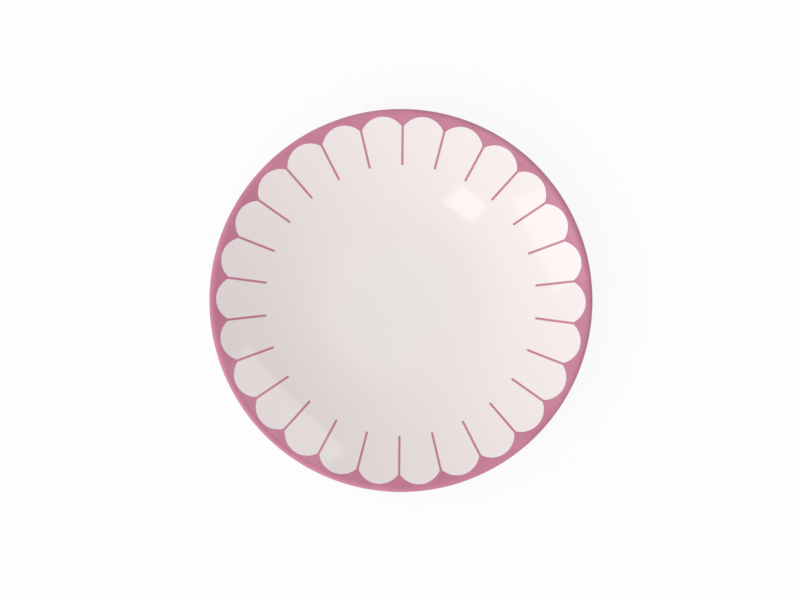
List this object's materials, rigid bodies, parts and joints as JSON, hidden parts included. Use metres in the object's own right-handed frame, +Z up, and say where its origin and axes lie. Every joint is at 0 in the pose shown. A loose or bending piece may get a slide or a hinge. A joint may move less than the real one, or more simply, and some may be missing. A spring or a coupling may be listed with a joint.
{
  "type": "dessert plate",
  "caption": "Round coupe dessert plate in glazed porcelain, with a flat well, a rising curved wall, a round lip, a foot ring and a pink border scalloped into white petals.",
  "frame": {"origin": "on the plate's axis, in the plane of the table that the foot ring stands on", "axes": "+Z up along the plate's axis, +X and +Y across the plate, with +Y towards the top of the picture"},
  "size_m": [0.21, 0.21, 0.026],
  "materials": {
    "porcelain": "fired and bare, ground smooth and matt on the land of the foot ring",
    "white_glaze": "glossy white glaze",
    "pink_glaze": "glossy pink colour fired into the glaze",
    "pink_line": "glossy pink colour fired into the glaze, drawn as thin lines",
    "back_glaze": "glossy white glaze",
    "recess_glaze": "glossy white glaze"
  },
  "bodies": {
    "root": {"porcelain_body": "porcelain", "face_glaze": "white_glaze", "scallop_band": "pink_glaze", "petal_lines": "pink_line", "back_glaze": "back_glaze", "recess_glaze": "recess_glaze"}
  },
  "joints": []
}
